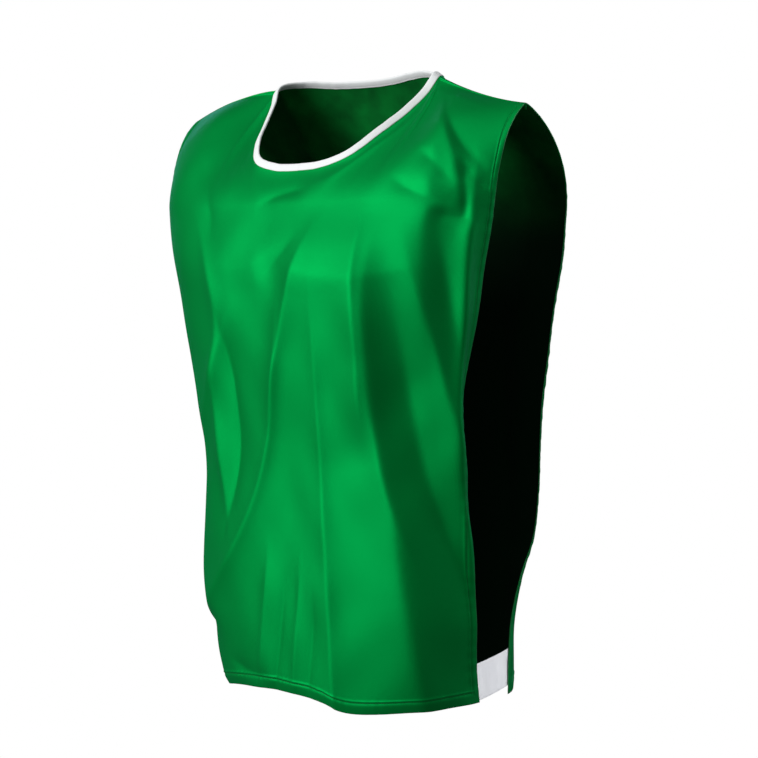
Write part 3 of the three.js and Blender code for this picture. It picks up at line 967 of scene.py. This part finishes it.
# %% Sweep the binding
BINDING_STEPS = 720
BINDING_STITCH = 2.9
BINDING_PITCH = 3.2
BINDING_FURROW = 0.22
BINDING_FURROW_WIDTH = 0.55
CURVE_STEPS = 4001
LEG_OUTSIDE = table(
    "across through",
    (4.5, 0.95),
    (4.42, 1.25),
    (4.0, 1.45),
    (3.4, 1.5),
    (2.9, 1.5),
    (2.4, 1.52),
    (1.2, 1.58),
    (-0.6, 1.6),
    (-2.2, 1.52),
    (-3.4, 1.28),
    (-4.15, 0.8),
    (-4.45, 0.2),
)
LEG_INSIDE = table(
    "across through",
    (-4.4, -0.4),
    (-3.9, -1.0),
    (-2.8, -1.36),
    (-1.0, -1.5),
    (1.0, -1.5),
    (2.9, -1.45),
    (4.1, -1.35),
    (4.5, -1.05),
    (4.45, -0.7),
    (4.1, -0.55),
    (2.0, -0.52),
    (-0.4, -0.5),
    (-0.8, 0.1),
    (-0.4, 0.72),
    (2.0, 0.74),
    (4.1, 0.76),
    (4.45, 0.82),
)


def binding_grid():
    """Rows round the neck of the closed outline of the folded strip."""
    # Even steps along the curve instead of even steps of the curve's own measure
    fine = np.linspace(0, 1, CURVE_STEPS)
    run = arc_length(neck_curve(fine), 0)
    length = np.arange(BINDING_STEPS) / BINDING_STEPS * run[-1]
    at = np.interp(length, run, fine)
    along, lean, through = neck_frame(at)
    centre = neck_curve(at)
    across = np.concatenate([LEG_OUTSIDE["across"], LEG_INSIDE["across"]])
    lift = np.concatenate([LEG_OUTSIDE["through"], LEG_INSIDE["through"]])
    outside = (np.arange(len(across)) < len(LEG_OUTSIDE["across"])).astype(float)
    pull = 0.5 + 0.5 * np.cos(2 * math.pi * length / BINDING_PITCH)[:, None]
    furrow = np.exp(-(((across - BINDING_STITCH) / BINDING_FURROW_WIDTH) ** 2)) * outside
    lift = lift - furrow * (BINDING_FURROW + BINDING_FURROW * pull)
    lift = lift + outside * 0.12 * puckers(5, length, wave=9, depth=1)[:, None]
    shift = 0.15 * puckers(6, length, wave=24, depth=1)[:, None]
    points = centre[:, None] + lean[:, None] * (across + shift)[..., None]
    points = points + through[:, None] * lift[..., None]
    outline = np.stack([across, lift[0]], 1)
    around = arc_length(outline, 0)
    chart = np.stack(np.broadcast_arrays(length[:, None], around), -1)
    return points, chart, (at, centre, along, lean, through)


def ring_faces(rows, columns):
    """The faces of a closed outline that is swept round a closed curve."""
    index = np.arange(rows * columns).reshape(rows, columns)
    next_row = np.roll(index, -1, 0)
    corners = index, next_row, np.roll(next_row, -1, 1), np.roll(index, -1, 1)
    return np.stack([corner.ravel() for corner in corners], 1)


binding_points, binding_chart, binding_frame = binding_grid()
binding_faces = ring_faces(*binding_points.shape[:2])[:, ::-1].tolist()
binding = add_mesh(
    "neck_binding_rib",
    binding_points.reshape(-1, 3),
    binding_faces,
    np.zeros(len(binding_faces), np.int32),
    binding_chart.reshape(-1, 2),
    [WHITE_RIB],
)
dress(binding, "neck_binding")

# %% [markdown]
# ## The side bands
# At each side a piece of woven elastic joins the two hems. It is sewn under the turned
# edge of each panel, a little higher at the back, and bows outwards between them. It is
# slightly wavy, most of all halfway up. Its cords run along it and show as fine ridges,
# and its two long edges are woven thinner.

# %% Shape the bands
BAND_ROWS = 104
BAND_STEPS = 64
BAND_THICK = 1.3
BAND_WAVE = 13
BAND_WAVE_DEPTH = 0.35
BAND_WAVE_HEIGHT = 22
BAND_WAVE_REACH = 16


def band_path(mirror, height, steps):
    """Points and outward directions of a band at one height above the front's hem."""
    tucked = 1 - BAND_TUCK / HALF_CUT

    def place(panel, across):
        rise = height + (BAND_RISE if panel["facing"] > 0 else 0)
        down = 2 - rise / (BODY_LENGTH - panel["sections"]["drop"][0])
        point, normal = cloth(panel, np.array([mirror * across]), np.array([down]))
        return (point - normal * BAND_UNDER)[0]

    ends = [place(FRONT, tucked), place(FRONT, 1), place(BACK, 1), place(BACK, tucked)]
    middle = (ends[1] + ends[2]) / 2 + np.array([mirror * BAND_BULGE, 0, 0])
    points = np.array([ends[0], ends[1], middle, ends[2], ends[3]])
    points = np.concatenate([[2 * points[0] - points[1]], points, [2 * points[-1] - points[-2]]])
    place_on = np.linspace(0, 4, steps)
    i = np.minimum(np.floor(place_on).astype(int), 3)
    path = spline([points[i + k] for k in range(4)], (place_on - i)[:, None])
    along = unit(np.gradient(path, axis=0))
    out = np.stack([along[:, 1], -along[:, 0], np.zeros(steps)], 1)
    return path, unit(out) * mirror


def band_grid(mirror, seed):
    """A band's outer and inner grids, its cloth coordinates and its outward directions."""
    rng = np.random.default_rng(seed)
    heights = 1 + BAND_HEIGHT * np.linspace(1, 0, BAND_ROWS)
    paths, outs = zip(*(band_path(mirror, height, BAND_STEPS) for height in heights))
    path, out = np.array(paths), np.array(outs)
    run = arc_length(path, 1)
    up = np.broadcast_to(heights[:, None], run.shape)
    waves = np.sin(2 * math.pi * run / BAND_WAVE + rng.uniform(0, 6))
    near = np.exp(-(((up - BAND_WAVE_HEIGHT) / BAND_WAVE_REACH) ** 2))
    path = path + out * (BAND_WAVE_DEPTH * waves * near)[..., None]
    edge = np.minimum(up - 1, BAND_HEIGHT + 1 - up)
    thick = BAND_THICK / 2 * (0.35 + 0.65 * smoothstep(edge, -0.2, 1.8))
    cords = 0.1 * np.cos(2 * math.pi * up / BAND_CORD) * smoothstep(edge, 1, 3)
    outer = path + out * (thick + cords)[..., None]
    inner = path - out * (thick + cords)[..., None]
    return outer, inner, np.stack([run, up], -1), out


# %% Dress the bands
bands = []
band_faces = {}
for side_name, mirror, seed in (("left", 1, 51), ("right", -1, 52)):
    outer, inner, chart, out = band_grid(mirror, seed)
    grids = outer, inner, chart
    band = add_wall(f"side_band_{side_name}_elastic", grids, mirror < 0, [WHITE_ELASTIC])
    # One finish on both faces
    band.data.polygons.foreach_set("material_index", np.zeros(len(band.data.polygons), np.int32))
    band_faces[mirror] = (outer, out)
    dress(band, f"side_band_{side_name}")
    bands.append(band)

# %% [markdown]
# ## Stitches
# Each seam shows as a row of short threads. Making thousands of them by hand would be
# slow, and they all follow a path, so a Geometry Nodes tree does it: it spreads points
# along a path at an even pitch, and sets a small rounded thread on each one, turned along
# the path. A zigzag moves every other thread to the other side of the path and slants it.
# The path keeps the cloth's outward direction in an attribute, so the threads lie flat.

# %% The stitch tree
STITCH_SIDES = 6
STITCH_RINGS = 4


def stitch_tree():
    """A tree that sets a row of short threads along a path."""
    tree = bpy.data.node_groups.new("stitches", "GeometryNodeTree")
    face = tree.interface
    face.new_socket("Path", in_out="INPUT", socket_type="NodeSocketGeometry")
    for label in ("Pitch", "Length", "Thickness", "Zigzag"):
        face.new_socket(label, in_out="INPUT", socket_type="NodeSocketFloat")
    face.new_socket("Thread", in_out="INPUT", socket_type="NodeSocketMaterial")
    face.new_socket("Stitches", in_out="OUTPUT", socket_type="NodeSocketGeometry")
    new, link = tree.nodes.new, tree.links.new
    given, result = new("NodeGroupInput"), new("NodeGroupOutput")

    def vector_math(operation, a, b=None, scale=None):
        node = new("ShaderNodeVectorMath")
        node.operation = operation
        link(a, node.inputs[0])
        if b is not None:
            link(b, node.inputs[1])
        if scale is not None:
            link(scale, node.inputs["Scale"])
        return node.outputs["Vector"]

    curve = new("GeometryNodeMeshToCurve")
    link(given.outputs["Path"], curve.inputs["Mesh"])
    spread = new("GeometryNodeResampleCurve")
    spread.mode = "LENGTH"
    link(curve.outputs["Curve"], spread.inputs["Curve"])
    link(given.outputs["Pitch"], spread.inputs["Length"])

    out = new("GeometryNodeInputNamedAttribute")
    out.data_type = "FLOAT_VECTOR"
    out.inputs["Name"].default_value = "out"
    tangent = new("GeometryNodeInputTangent").outputs["Tangent"]
    across = vector_math("CROSS_PRODUCT", out.outputs["Attribute"], tangent)
    index = new("GeometryNodeInputIndex").outputs["Index"]
    odd = math_node(tree, "MODULO", index, 2.0)
    sign = math_node(tree, "SUBTRACT", math_node(tree, "MULTIPLY", odd, 2.0), 1.0)
    quarter = math_node(tree, "MULTIPLY", given.outputs["Zigzag"], 0.25)
    half = math_node(tree, "MULTIPLY", quarter, sign)
    rise = math_node(tree, "MULTIPLY", half, 4.0)
    slant = math_node(tree, "DIVIDE", rise, given.outputs["Pitch"])
    moved = new("GeometryNodeSetPosition")
    link(spread.outputs["Curve"], moved.inputs["Geometry"])
    link(vector_math("SCALE", across, scale=half), moved.inputs["Offset"])
    heading = vector_math("ADD", tangent, vector_math("SCALE", across, scale=slant))
    turn = new("FunctionNodeAxesToRotation")
    turn.primary_axis, turn.secondary_axis = "X", "Z"
    link(heading, turn.inputs["Primary Axis"])
    link(out.outputs["Attribute"], turn.inputs["Secondary Axis"])

    bead = new("GeometryNodeMeshUVSphere")
    bead.inputs["Segments"].default_value = STITCH_SIDES
    bead.inputs["Rings"].default_value = STITCH_RINGS
    bead.inputs["Radius"].default_value = 0.5
    size = new("ShaderNodeCombineXYZ")
    link(given.outputs["Length"], size.inputs["X"])
    link(given.outputs["Thickness"], size.inputs["Y"])
    link(given.outputs["Thickness"], size.inputs["Z"])
    placed = new("GeometryNodeInstanceOnPoints")
    link(moved.outputs["Geometry"], placed.inputs["Points"])
    link(bead.outputs["Mesh"], placed.inputs["Instance"])
    link(turn.outputs["Rotation"], placed.inputs["Rotation"])
    link(size.outputs["Vector"], placed.inputs["Scale"])
    real = new("GeometryNodeRealizeInstances")
    link(placed.outputs["Instances"], real.inputs["Geometry"])
    smooth = new("GeometryNodeSetShadeSmooth")
    link(real.outputs["Geometry"], smooth.inputs["Geometry"])
    finish = new("GeometryNodeSetMaterial")
    link(smooth.outputs["Geometry"], finish.inputs["Geometry"])
    link(given.outputs["Thread"], finish.inputs["Material"])
    link(finish.outputs["Geometry"], result.inputs["Stitches"])
    return tree


STITCHES = stitch_tree()
print("stitch tree:", len(STITCHES.nodes), "nodes")


# %% Sew along paths
def path_mesh(name, paths):
    """Open polylines, in millimetres, with their outward directions."""
    mesh = bpy.data.meshes.new(name)
    points = np.concatenate([path for path, _ in paths]) / 1000
    edges, first = [], 0
    for path, _ in paths:
        edges += [(first + k, first + k + 1) for k in range(len(path) - 1)]
        first += len(path)
    mesh.from_pydata(points.tolist(), edges, [])
    out = mesh.attributes.new("out", "FLOAT_VECTOR", "POINT")
    out.data.foreach_set("vector", np.concatenate([out for _, out in paths]).ravel())
    return mesh


def sew(name, paths, material, pitch, length, thickness, zigzag=0.0):
    """A row of stitches along each path, as one piece that rides with the bib."""
    carrier = bpy.data.objects.new(name + "_path", path_mesh(name + "_path", paths))
    scene.collection.objects.link(carrier)
    modifier = carrier.modifiers.new("stitches", "NODES")
    modifier.node_group = STITCHES
    values = {
        "Pitch": pitch / 1000,
        "Length": length / 1000,
        "Thickness": thickness / 1000,
        "Zigzag": zigzag / 1000,
        "Thread": material,
    }
    for socket in STITCHES.interface.items_tree:
        if socket.in_out == "INPUT" and socket.name in values:
            modifier[socket.identifier] = values[socket.name]
    graph = bpy.context.evaluated_depsgraph_get()
    mesh = bpy.data.meshes.new_from_object(carrier.evaluated_get(graph))
    mesh.name = name
    bpy.data.objects.remove(carrier)
    made = bpy.data.objects.new(name, mesh)
    scene.collection.objects.link(made)
    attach(made, "root")
    print(f"{name}: {len(mesh.vertices) // (STITCH_SIDES * (STITCH_RINGS - 1) + 2)} stitches")
    return made


# %% [markdown]
# A row of stitches runs at a fixed distance from an edge. Its path is read from the
# finished outside of a panel: first the places in the grid, then the points and the
# outward directions there.


# %% Paths on the cloth
PATH_STEPS = 700
SIDE_RUN = (0.012, 1.998)


def sample(grid, columns, rows, across, down):
    """Values of a grid at places between its columns and rows."""
    c = np.interp(across, columns, np.arange(len(columns)))
    r = np.interp(down, rows, np.arange(len(rows)))
    c0 = np.minimum(c.astype(int), len(columns) - 2)
    r0 = np.minimum(r.astype(int), len(rows) - 2)
    fc, fr = (c - c0)[:, None], (r - r0)[:, None]
    top = grid[r0, c0] * (1 - fc) + grid[r0, c0 + 1] * fc
    low = grid[r0 + 1, c0] * (1 - fc) + grid[r0 + 1, c0 + 1] * fc
    return top * (1 - fr) + low * fr


def on_cloth(shaped, across, down, face="outer", lift=0.0):
    """A path on a panel's outside or inside, and its outward directions."""
    columns, rows = shaped["columns"], shaped["rows"]
    sign = 1 if face == "outer" else -1
    out = unit(sample(shaped["normal"], columns, rows, across, down)) * sign
    return sample(shaped[face], columns, rows, across, down) + out * lift, out


def hem_path(panel, shaped, distance, **how):
    """Along the bottom hem, stopping at the side hems' stitches."""
    across = np.linspace(-1, 1, PATH_STEPS) * (1 - EDGE_STITCH / HALF_CUT)
    body = BODY_LENGTH - panel["sections"]["drop"][0]
    return on_cloth(shaped, across, np.full(PATH_STEPS, 2 - distance / body), **how)


def side_path(panel, shaped, mirror, distance, **how):
    """Down one open side, from the shoulder to the hem."""
    across = np.full(PATH_STEPS, mirror * (1 - distance / HALF_CUT))
    return on_cloth(shaped, across, np.linspace(*SIDE_RUN, PATH_STEPS), **how)


both = ((FRONT, front_cloth), (BACK, back_cloth))
hem_rows = [hem_path(*cloths, HEM_STITCH, lift=0.03) for cloths in both]
side_rows = []
for cloths in both:
    side_rows += [side_path(*cloths, mirror, EDGE_STITCH, lift=0.03) for mirror in (-1, 1)]
sew("hem_stitches", hem_rows + side_rows, GREEN_THREAD, pitch=3.0, length=2.5, thickness=0.42)

# %% [markdown]
# Inside, the raw edge of a hem is covered by a zigzag of thread, and along each open side
# a fine pale thread covers the fold, which is the thin light line at the edge of the cloth.

# %% Sew the covered edges
inside = {"face": "inner", "lift": 0.1}
inside_rows = [hem_path(*cloths, HEM_STITCH + 0.6, **inside) for cloths in both]
for cloths in both:
    for mirror in (-1, 1):
        inside_rows.append(side_path(*cloths, mirror, EDGE_STITCH + 0.5, **inside))
cover = {"pitch": 2.6, "length": 3.6, "thickness": 0.36, "zigzag": 3.0}
sew("inside_cover_stitches", inside_rows, GREEN_THREAD, **cover)
edge_rows = [side_path(*cloths, mirror, 0.25, lift=0.05) for cloths in both for mirror in (-1, 1)]
sew("pale_edge_thread", edge_rows, PALE_THREAD, pitch=2.2, length=2.0, thickness=0.5)

# %% Sew the binding and the bands
at, centre, along, lean, through = binding_frame
neck_row = centre + lean * BINDING_STITCH + through * 1.3
neck_row = np.concatenate([neck_row, neck_row[:1]])
neck_out = np.concatenate([through, through[:1]])
neck_thread = {"pitch": BINDING_PITCH, "length": 2.5, "thickness": 0.42}
sew("binding_stitches", [(neck_row, neck_out)], WHITE_THREAD, **neck_thread)

tack_rows = []
for mirror, (outer, out) in band_faces.items():
    for column in (5, BAND_STEPS - 6):
        tack_rows.append((outer[2:-2, column] + out[2:-2, column] * 0.1, out[2:-2, column]))
tack = {"pitch": 1.6, "length": 2.6, "thickness": 0.4, "zigzag": 2.4}
sew("band_tacks", tack_rows, WHITE_THREAD, **tack)

# %% [markdown]
# ## Light and surroundings
# The light in the photograph is large and soft. It comes from the side of the camera that
# the front faces, so the chest is bright and each fold falls into shade on the wearer's
# left. One tall lamp does that, a smaller one above lights the shoulders, and three weak
# ones and an even light from all round keep the other sides readable. The side band stands
# in the shade but is as white as the binding, so the bands have a lamp of their own. The
# background is plain white where the camera sees it. A pale floor lies well below the hem
# and has its own lamp too, and it throws no light back at the bib.

# %% Lights, background and floor
scene.view_settings.view_transform = "Standard"
world = bpy.data.worlds.new("white_studio")
scene.world = world
world.use_nodes = True
nodes, links = world.node_tree.nodes, world.node_tree.links
nodes.clear()
ray = nodes.new("ShaderNodeLightPath")
choose = nodes.new("ShaderNodeMixShader")
world_out = nodes.new("ShaderNodeOutputWorld")
links.new(ray.outputs["Is Camera Ray"], choose.inputs["Fac"])
# The first lights the bib, and the second is what the camera sees
for socket, colour, strength in ((1, (0.95, 0.98, 1, 1), 0.11), (2, (1, 1, 1, 1), 1.0)):
    background = nodes.new("ShaderNodeBackground")
    background.inputs["Color"].default_value = colour
    background.inputs["Strength"].default_value = strength
    links.new(background.outputs["Background"], choose.inputs[socket])
links.new(choose.outputs["Shader"], world_out.inputs["Surface"])


def add_lamp(name, place, target, size, power):
    """A soft rectangular lamp at one place, aimed at another."""
    lamp = bpy.data.lights.new(name, "AREA")
    lamp.shape = "RECTANGLE"
    lamp.size, lamp.size_y = size
    lamp.energy = power
    made = bpy.data.objects.new(name, lamp)
    made.location = place
    made.rotation_euler = (Vector(target) - Vector(place)).to_track_quat("-Z", "Y").to_euler()
    scene.collection.objects.link(made)
    return made


def lamp_round_bib(name, azimuth, elevation, width, height, power, away=2.6):
    """A lamp at an azimuth from the front towards the wearer's left, aimed at the chest."""
    azimuth, elevation = math.radians(azimuth), math.radians(elevation)
    level = away * math.cos(elevation)
    aim = (0, 0, -0.3)
    place = (level * math.sin(azimuth), -level * math.cos(azimuth), aim[2] + away * math.sin(elevation))
    return add_lamp(name, place, aim, (width, height), power)


# azimuth, elevation, width, height, power
LAMPS = {
    "key": (-20, 15, 1.4, 2.1, 62),
    "above": (35, 60, 1.4, 1.4, 15),
    "side": (125, 5, 1.0, 1.6, 6),
    "rear_left": (170, 25, 1.2, 1.6, 14),
    "rear_right": (-125, 20, 1.2, 1.6, 12),
    "band_lamp": (85, 0, 1.0, 1.0, 48),
}
lamps = {name: lamp_round_bib(name, *values) for name, values in LAMPS.items()}
FLOOR_DROP = 1.4
FLOOR_WIDTH = 7
half = FLOOR_WIDTH / 2
floor_size = (FLOOR_WIDTH, FLOOR_WIDTH)
floor_lamp = add_lamp("floor_lamp", (0, 0, 2), (0, 0, -FLOOR_DROP), floor_size, 340)
floor_mesh = bpy.data.meshes.new("floor")
corners = [(x * half, y * half, -FLOOR_DROP) for x, y in ((-1, -1), (1, -1), (1, 1), (-1, 1))]
floor_mesh.from_pydata(corners, [], [(0, 1, 2, 3)])
floor = bpy.data.objects.new("floor", floor_mesh)
scene.collection.objects.link(floor)
pale = {"Base Color": (0.8, 0.8, 0.8, 1), "Roughness": 0.9}
floor_mesh.materials.append(new_material("pale_floor", pale)[0])
floor.visible_diffuse = floor.visible_glossy = False
for lamp, lit in ((lamps["band_lamp"], bands), (floor_lamp, [floor])):
    receivers = bpy.data.collections.new(lamp.name + "_receivers")
    for thing in lit:
        receivers.objects.link(thing)
    lamp.light_linking.receiver_collection = receivers
print("lamps:", [*lamps, floor_lamp.name])
